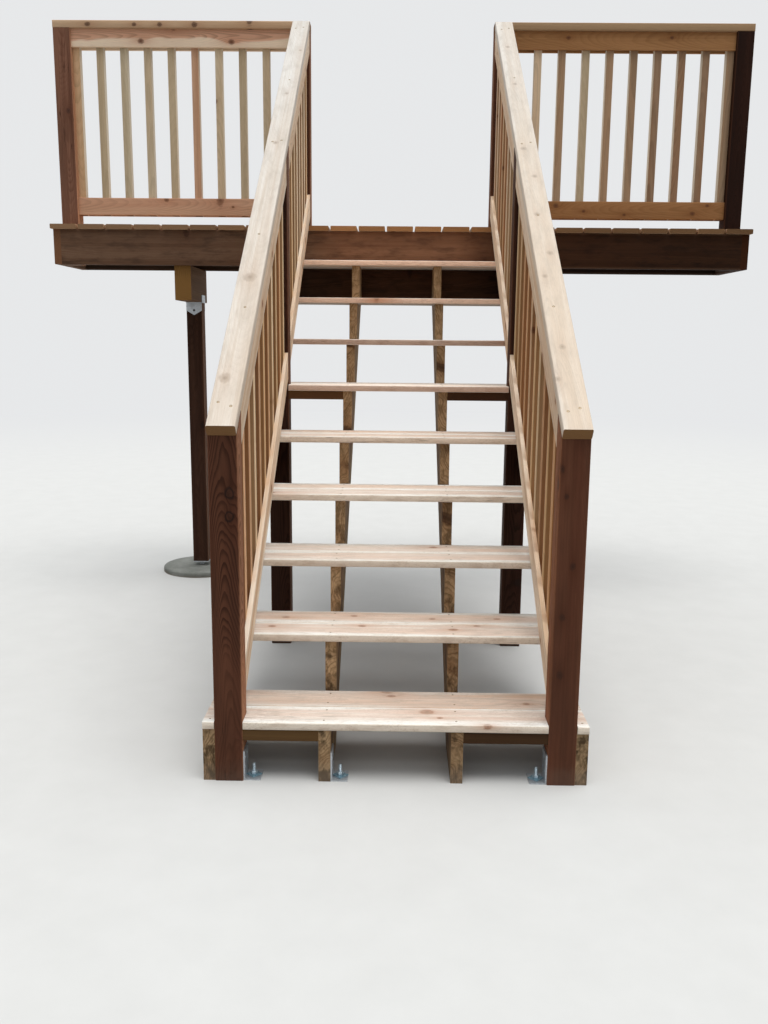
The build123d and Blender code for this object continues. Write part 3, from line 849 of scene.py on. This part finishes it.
# Steps whose nosings take the darker painted shade of the upper treads' finish
shaded_nosing_treads = (6, 7)
for step in range(1, tread_count + 1):
    treads = Timber()
    front = nosing_y(step)
    for row, looks in enumerate((front_board_looks, back_board_looks)):
        start = front + row * (board_width + board_gap)
        low, high = start, start + board_width
        outline = [(-half_width, low), (half_width, low), (half_width, high), (-half_width, high)]
        if row == 0 and step in (1, mid_post_tread):
            back = (front if step == 1 else mid_post_y) + post_size + fit_gap
            a, b = post_inner_x - fit_gap, post_outer_x + fit_gap
            outline = [(-half_width, low), (-b, low), (-b, back), (-a, back), (-a, low), (a, low), (a, back),
                       (b, back), (b, low), (half_width, low), (half_width, high), (-half_width, high)]
        tone, hue = looks.get(step, (None, None))
        middle = at(0, 0, step * rise - board_thickness / 2)
        treads.add(outline, board_thickness, middle, RIGHT, BACK, ease=board_ease, tone=tone, hue=hue)
    finish = upper_treads_wood if step in shaded_nosing_treads else treads_wood
    treads.make(f"tread_{step}_boards", finish, "tread_boards", f"tread_{step}")


# Stringers


def stringer_outline():
    head_low = seat_z(tread_count + 1) - twelve_wide / math.cos(pitch)
    points = [(riser_y(1), 0.0)]
    for step in range(1, tread_count + 1):
        points += [(riser_y(step), seat_z(step)), (riser_y(step + 1), seat_z(step))]
    return points + [(rim_y, head_low), (rim_y - head_low / slope, 0.0)]


outer_x = half_width - two_by / 2
stringer_x = (-outer_x, *inner_stringer_x, outer_x)
stringer_tones = {"outer_stringer_left": 0.2, "inner_stringer_left": 0.5, "inner_stringer_right": 0.1,
                  "outer_stringer_right": -0.1}
for (name, tone), x in zip(stringer_tones.items(), stringer_x):
    carriage = Timber()
    side_board(carriage, stringer_outline(), x, two_by, STEP_SLOPE, tone=tone)
    carriage.make(f"{name}_board", stringers_wood, "stringer_boards", name)


# Posts, guards and caps


def sloped_post(name, side, y, finish=posts_wood, **how):
    """A guard post, cut to the slope of the cap that it carries."""
    post = Timber()
    back = y + post_size
    outline = [(y, 0.0), (y, cap_under(y)), (back, cap_under(back)), (back, 0.0)]
    side_board(post, outline, side * post_centre_x, post_size, UP, ease=post_ease, hearted=True, **how)
    post.make(f"{name}_timber", finish, "posts", name)


def baluster_rows(low, high, count):
    first, last = low + baluster_size / 2, high - baluster_size / 2
    return [first + (last - first) * i / (count - 1) for i in range(count)]


def rail_middles(middle):
    """Middles of the two boards of a rail, which hold the balusters between them."""
    offset = (baluster_size + rail_board_thickness) / 2
    return (middle - offset, middle + offset)


def stair_guard(name, side, y, count):
    rails, bars = Timber(), Timber()
    middle = side * guard_centre_x
    for x in rail_middles(middle):
        for under, over, looks in ((sub_rail_under, cap_under, {"tone": 0.4}),
                                   (bottom_rail_under, bottom_rail_top, {"tone": 0.9, "hue": 0.15})):
            sloped(rails, y, under, over, x, rail_board_thickness, ease=rail_ease, **looks)
    for row in baluster_rows(*y, count):
        limits = centred(row, baluster_size)
        sloped(bars, limits, bottom_rail_under, cap_under, middle, baluster_size, direction=UP, ease=bar_ease)
    rails.make(f"{name}_rails", stair_rails_wood, "guard_bars", name)
    bars.make(f"{name}_balusters", stair_bars_wood, "guard_bars")


def deck_guard_limits(side):
    return mirrored(side, (post_outer_x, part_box("corner_post_right")[0].x))


def deck_guard(name, side):
    sub_rail, rails, bars = Timber(), Timber(), Timber()
    x = deck_guard_limits(side)
    low = deck_top + deck_rail_gap
    high = deck_cap_under
    for middle in rail_middles(deck_guard_y):
        y = centred(middle, rail_board_thickness)
        bar(rails, x, y, (low, low + four_wide), ease=rail_ease, tone=0.5)
        bar(sub_rail, x, y, (high - four_wide, high), ease=rail_ease, tone=0.75, hue=0.7)
    for row, colour in zip(baluster_rows(*x, deck_balusters), deck_bar_order[side]):
        bar(bars, centred(row, baluster_size), centred(deck_guard_y, baluster_size), (low, high),
            ease=bar_ease, hue=(colour + 0.5) / len(deck_bar_colours))
    # The right guard's rails are darker brown, partly their own wood and partly painted shade
    sub_rail_wood, bottom_rail_wood = ((flame_rail_wood, deck_rails_wood) if side < 0 else
                                       (brown_rails_wood, brown_rails_wood))
    sub_rail.make(f"{name}_sub_rail", sub_rail_wood, "guard_bars", name)
    rails.make(f"{name}_bottom_rail", bottom_rail_wood, "guard_bars")
    bars.make(f"{name}_balusters", deck_bars_wood, "guard_bars")


def stair_cap(name, side, **looks):
    """The cap board: square-cut at the foot, plumb at the deck's cap."""
    front = -cap_overhang
    top = cap_top(front)
    outline = [
        (front, top),
        (front + two_by * math.sin(guard_pitch), top - two_by * math.cos(guard_pitch)),
        (head_post_y, cap_under(head_post_y)),
        (head_post_y, cap_top(head_post_y)),
    ]
    cap = Timber()
    side_board(cap, outline, side * post_centre_x, post_size, SLOPE, ease=cap_ease, **looks)
    cap.make(f"{name}_board", caps_wood, "cap_boards", name)


stair_bays = (("lower_guard", (post_size, mid_post_y), lower_balusters),
              ("upper_guard", (mid_post_y + post_size, head_post_y), upper_balusters))
# Looks of single boards by side, -1 for the left and 1 for the right
newel_looks = {
    -1: {"finish": arched_post_wood, "tone": 0.45, "hue": 0.9, "character": 1.0, "heart": (0.004, 0.006)},
    1: {"tone": 0.95, "hue": 0.6, "character": 0.53, "heart": (0.012, 0.070)},
}
# Painted shade: the low tones darken the right corner post, the right deck cap and the mid posts; the left
# corner post's high tone makes it lighter
corner_post_tones = {-1: 1.6, 1: -0.5}
stair_cap_looks = {-1: {"tone": 0.6, "hue": 0.0}, 1: {"tone": 0.75, "hue": 0.55}}
deck_cap_tones = {-1: 0.6, 1: 0.0}
for side, name in SIDES:
    squared = {"suffix": "timber", "ease": post_ease, "hearted": True}
    sloped_post(f"newel_post_{name}", side, 0.0, **newel_looks[side])
    sloped_post(f"mid_post_{name}", side, mid_post_y, tone=-0.5)
    box_board(f"head_post_{name}", posts_wood, "posts", tone=0.3, **squared)
    box_board(f"corner_post_{name}", posts_wood, "posts", tone=corner_post_tones[side], hue=0.1, **squared)
    for bay, y, count in stair_bays:
        stair_guard(f"{bay}_{name}", side, y, count)
    stair_cap(f"stair_cap_{name}", side, **stair_cap_looks[side])
    deck_guard(f"deck_guard_{name}", side)
    box_board(f"deck_cap_{name}", deck_caps_wood, "cap_boards", ease=cap_ease, tone=deck_cap_tones[side])


# Framing

# Painted shade under the deck: the hanger board and the back joist have very low tones
framing_tones = {"hanger_board": -2.2, "front_rim": 0.5, "back_joist": -2.2, "side_band": 0.9, "ledger": 0.9}
for name, tone in framing_tones.items():
    box_board(name, framing_wood, "dark_framing", tone=tone)
box_board("beam", beam_wood, "beam_timber", "timber")
box_board("beam_post", posts_wood, "beam_timber", "timber", hearted=True, tone=-0.4)

for name, step, hue in (("blocking_low", 1, 0.2), ("blocking_high", mid_post_tread, 1.0)):
    blocks = Timber()
    front = riser_y(step)
    z = (seat_z(step) - two_by, seat_z(step))
    inner_left, inner_right = inner_stringer_x
    for x in ((-post_inner_x, inner_left - two_by / 2), (inner_right + two_by / 2, post_inner_x)):
        bar(blocks, x, (front, front + four_wide), z, tone=0.1, hue=hue)
    blocks.make(f"{name}_boards", blocks_wood, "stringer_boards", name)

deck_low, deck_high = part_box("decking")
deck_board_gap = (deck_high.x - deck_low.x - deck_board_count * board_width) / (deck_board_count - 1)
deck_board_starts = [deck_low.x + row * (board_width + deck_board_gap) for row in range(deck_board_count)]
deck_front, deck_back = deck_low.y - flight_start, deck_high.y - flight_start


def decking():
    """The deck's boards, notched around the four posts of the front guard."""
    post_back = head_post_y + post_size + fit_gap
    post_front = head_post_y - fit_gap
    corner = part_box("corner_post_right")
    rights = ((post_inner_x, post_outer_x), (corner[0].x, corner[1].x))
    posts = [mirrored(side, x) for side in (-1, 1) for x in rights]
    deck = Timber()
    for a in deck_board_starts:
        b = a + board_width
        outline = [(deck_front, -b), (deck_back, -b), (deck_back, -a), (deck_front, -a)]
        for post in posts:
            c, d = max(a, post[0] - fit_gap), min(b, post[1] + fit_gap)
            if d - c < 10 * touching:
                continue
            if c <= a + touching and d < b:
                outline[3:] = [(post_back, -a), (post_back, -d), (post_front, -d), (post_front, -a),
                               (deck_front, -a)]
            elif d >= b - touching and c > a:
                outline[1:] = [(post_front, -b), (post_front, -c), (post_back, -c), (post_back, -b),
                               (deck_back, -b), (deck_back, -a), (deck_front, -a)]
        middle = at(0, 0, deck_top - board_thickness / 2)
        deck.add(outline, board_thickness, middle, BACK, -RIGHT, ease=board_ease)
    deck.make("decking_boards", decking_wood, "deck_boards", "decking")


decking()


# Fixings


class Turned:
    """Small turned parts in one piece: screws, nuts, washers and rods, each round its own axis."""

    def __init__(self):
        self.points, self.faces = [], []

    def add(self, foot, axis, profile, sides=14, spin=0.0):
        """Sweeps a profile of (radius, height) points round the axis from its foot."""
        first = axis.orthogonal().normalized()
        second = axis.cross(first)
        base = len(self.points)
        for radius, height in profile:
            for i in range(sides):
                angle = spin + 2 * math.pi * i / sides
                offset = first * math.cos(angle) + second * math.sin(angle)
                self.points.append(foot + axis * height + offset * radius)
        for level in range(len(profile) - 1):
            low, high = base + level * sides, base + (level + 1) * sides
            for i in range(sides):
                j = (i + 1) % sides
                self.faces.append((low + i, low + j, high + j, high + i))
        self.faces.append([base + i for i in reversed(range(sides))])
        self.faces.append([base + (len(profile) - 1) * sides + i for i in range(sides)])

    def screw(self, place, axis, radius=0.0036):
        """A flat head with its edge rolled over and a round recess in the middle."""
        profile = [(radius * 0.9, -0.002), (radius, 0.0), (radius * 0.94, 0.0005), (radius * 0.45, 0.0007)]
        self.add(place, axis, profile + [(radius * 0.36, -0.0006), (radius * 0.12, -0.001)], 12)

    def make(self, name, finish):
        place_piece(new_mesh(name, self.points, self.faces, finish), name, "zinc_steel")


def jitter():
    """How far a screw is off its line."""
    return chance.uniform(-0.003, 0.003)


screw_inset = 0.028
pair = (screw_inset, board_width - screw_inset)
tread_screws = Turned()
for step in range(1, tread_count + 1):
    for row in range(2):
        board_front = nosing_y(step) + row * (board_width + board_gap)
        for x in stringer_x:
            for y in pair:
                tread_screws.screw(at(x + jitter(), board_front + y + jitter(), step * rise), UP)
tread_screws.make("tread_screws", screw_steel)

deck_screws = Turned()
for start in deck_board_starts:
    for y in (rim_y + two_by / 2, deck_back - two_by / 2):
        for x in pair:
            deck_screws.screw(at(start + x + jitter(), y + jitter(), deck_top), UP)
deck_screws.make("deck_screws", screw_steel)

cap_axis = Vector((0, -math.sin(guard_pitch), math.cos(guard_pitch)))
cap_screw_places = [(-0.547, 0.060), (-0.506, 0.046), (-0.5226, 0.451), (-0.5245, 0.820), (0.505, 0.039),
                    (0.542, 0.051), (0.518, 0.4665), (0.5215, 0.9402), (-0.545, 1.405), (-0.508, 1.415),
                    (0.508, 1.402), (0.546, 1.412), (-0.526, 1.90), (0.528, 1.93), (-0.546, 2.40),
                    (-0.508, 2.41), (0.508, 2.40), (0.546, 2.41)]
cap_screws = Turned()
for x, y in cap_screw_places:
    cap_screws.screw(at(x, y, cap_top(y)), cap_axis, radius=0.005)
cap_screws.make("cap_screws", screw_steel)

# One screw through each rail into each baluster, from the side away from the walkway
rail_screws = Turned()
rail_screw_radius = 0.0038
outer_face = guard_centre_x + rail_thickness / 2
back_face = deck_guard_y + rail_thickness / 2
for side, _ in SIDES:
    for _, limits, count in stair_bays:
        for y in baluster_rows(*limits, count):
            for under in (sub_rail_under, bottom_rail_under):
                place = at(side * outer_face, y + jitter(), under(y) + rail_rise / 2 + jitter())
                rail_screws.screw(place, RIGHT * side, rail_screw_radius)
    for x in baluster_rows(*deck_guard_limits(side), deck_balusters):
        for z in (deck_top + deck_rail_gap + four_wide / 2, deck_cap_under - four_wide / 2):
            rail_screws.screw(at(x + jitter(), back_face, z + jitter()), BACK, rail_screw_radius)
rail_screws.make("rail_screws", screw_steel)

# Carriage bolts that hold the outer stringers to the guard posts
bolt_heads = Turned()
bolt_drop = 0.12
dome = [(0.0125, -0.001), (0.0125, 0.0005), (0.0112, 0.0022), (0.0080, 0.0040), (0.0035, 0.0050)]
for side, _ in SIDES:
    for y in (post_size / 2, mid_post_y + post_size / 2):
        for dy, dz in ((-0.018, -0.025), (0.018, 0.022)):
            place = at(side * half_width, y + dy, nosing_line(y) - bolt_drop + dz)
            bolt_heads.add(place, RIGHT * side, dome, 18)
bolt_heads.make("stringer_bolt_heads", zinc_steel)

# Anchors: washer, nut and rod on the foot of each bracket, and screws up its leg
anchor_y, anchor_out = 0.040, 0.0295
washer_thickness = 0.0032
washer = [(0.0255, 0.0), (0.0262, 0.0006), (0.0262, 0.0026), (0.0255, washer_thickness)]
nut = [(0.0098, 0.0), (0.0108, 0.0008), (0.0108, 0.0088), (0.0098, 0.0096)]
rod_radius, thread_radius, thread_pitch, thread_count = 0.0058, 0.0051, 0.0015, 16
rod = [(rod_radius, 0.0)]
for turn in range(thread_count):
    rod += [(rod_radius, 0.0128 + turn * thread_pitch), (thread_radius, 0.0135 + turn * thread_pitch)]
rod.append((0.0045, 0.0378))
washers, anchors = Turned(), Turned()
inner_left_face = inner_stringer_x[0] + two_by / 2
for face_x, facing in ((-post_inner_x, 1), (inner_left_face, 1), (post_inner_x, -1)):
    x = face_x + facing * anchor_out
    washers.add(at(x, anchor_y, bracket_thickness), UP, washer, 4, spin=math.pi / 4)
    anchors.add(at(x, anchor_y, bracket_thickness + washer_thickness), UP, nut, 6, spin=0.3)
    anchors.add(at(x, anchor_y, bracket_thickness), UP, rod, 12)
    for z in (0.040, 0.072):
        for dy in (-0.018, 0.018):
            place = at(face_x + facing * bracket_thickness, anchor_y + dy, z)
            anchors.screw(place, RIGHT * facing, radius=0.0045)
washers.make("anchor_washers", washer_steel)
anchors.make("anchor_nuts", bolt_steel)

# Painted hole shadows (dark discs) and nails of the post cap's front and back tongues
cap_low, cap_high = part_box("post_cap")
tongue_x = (cap_low.x + cap_high.x) / 2
tongue_hole_shadows, tongue_nails = Turned(), Turned()
hole = [(0.0072, -0.001), (0.0072, 0.0004), (0.0064, 0.0006), (0.0040, 0.0003)]
nail = [(0.0042, -0.001), (0.0044, 0.0008), (0.0030, 0.0018), (0.0010, 0.0022)]
hole_height, nail_places = 0.027, ((-0.022, 0.048), (0.022, 0.048), (0.0, 0.010))
for y, axis in ((cap_low.y - flight_start, -BACK), (cap_high.y - flight_start, BACK)):
    tongue_hole_shadows.add(at(tongue_x, y, cap_low.z + hole_height), axis, hole, 16)
    for dx, dz in nail_places:
        tongue_nails.add(at(tongue_x + dx, y, cap_low.z + dz), axis, nail, 14)
tongue_hole_shadows.make("post_cap_hole_shadows", hole_shadow)
tongue_nails.make("post_cap_nails", zinc_steel)

for name in ("post_cap", "post_base", "foot_brackets", "pier"):
    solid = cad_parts[name]
    solid.data.materials.clear()
    solid.data.materials.append(pier_concrete if name == "pier" else zinc_steel)


# Stage


def seen_directly(f):
    """1 for rays from the camera, and for those seen in metal."""
    rays = [f.node("LightPath", output=name) for name in
            ("Is Camera Ray", "Is Glossy Ray", "Is Transmission Ray")]
    return rays[0].math("MAXIMUM", rays[1]).math("MAXIMUM", rays[2])


backdrop_colour = (0.80, 0.81, 0.82)


def studio_floor():
    """A pale floor that fades into the backdrop far behind."""
    mesh = bpy.data.meshes.new("studio_floor")
    reach = 60.0
    fade_start, fade_stop = 5.0, 14.0
    mesh.from_pydata([(a * reach, b * reach, 0) for a, b in CORNERS], [], [(0, 1, 2, 3)])
    floor = in_scene("studio_floor", mesh)
    f = Finish(bpy.data.materials.new("floor_paint"))
    place = f.node("TexCoord", output="Object")
    x, y, _ = f.parts(place)
    far = f.step((x * x + y * y).math("SQRT"), fade_start, fade_stop)
    seen = seen_directly(f)
    mottle = f.noise(place, (6, 6, 6), 5.0, 0.6)
    colour = f.blend(mottle, (0.56, 0.56, 0.55), (0.62, 0.62, 0.61))
    colour = f.blend(seen, (0.34, 0.33, 0.31), colour)
    looks = {"Base Color": colour, "Roughness": 0.9, "Specular IOR Level": 0.2}
    paint = f.node("BsdfPrincipled", None, looks)
    glow = f.node("Emission", None, {"Color": (*backdrop_colour, 1.0), "Strength": 1.0})
    mixed = f.node("MixShader", None, {0: far * seen, 1: paint, 2: glow})
    f.node("OutputMaterial", None, {"Surface": mixed}, output=None)
    mesh.materials.append(f.owner)


def studio_light():
    """Air that is brighter overhead than near the floor and a little darker in front, and one wide lamp."""
    world = bpy.data.worlds.new("studio_air")
    bpy.context.scene.world = world
    air = Finish(world)
    ahead, up = air.parts(air.node("TexCoord", output="Generated"))[1:]
    level = 0.30 + air.step(up, 0.0, 0.9) * 0.80
    level = level * (1.0 - air.step(ahead, -0.1, -0.9) * 0.25)
    glow = air.tinted(level, (0.95, 0.98, 1.0))
    lit = air.node("Background", None, {"Color": glow, "Strength": 1.0})
    shown = air.node("Background", None, {"Color": (*backdrop_colour, 1.0), "Strength": 1.0})
    mixed = air.node("MixShader", None, {0: seen_directly(air), 1: lit, 2: shown})
    air.node("OutputWorld", None, {"Surface": mixed}, output=None)

    sun = bpy.data.lights.new("soft_key", "SUN")
    sun.energy = 2.0
    sun.angle = 0.7
    sun.color = (1.0, 0.985, 0.96)
    lamp = in_scene("soft_key", sun)
    lamp.rotation_mode = "QUATERNION"
    lamp.rotation_quaternion = Vector((0.12, -0.15, 0.98)).to_track_quat("Z", "Y")


studio_floor()
studio_light()
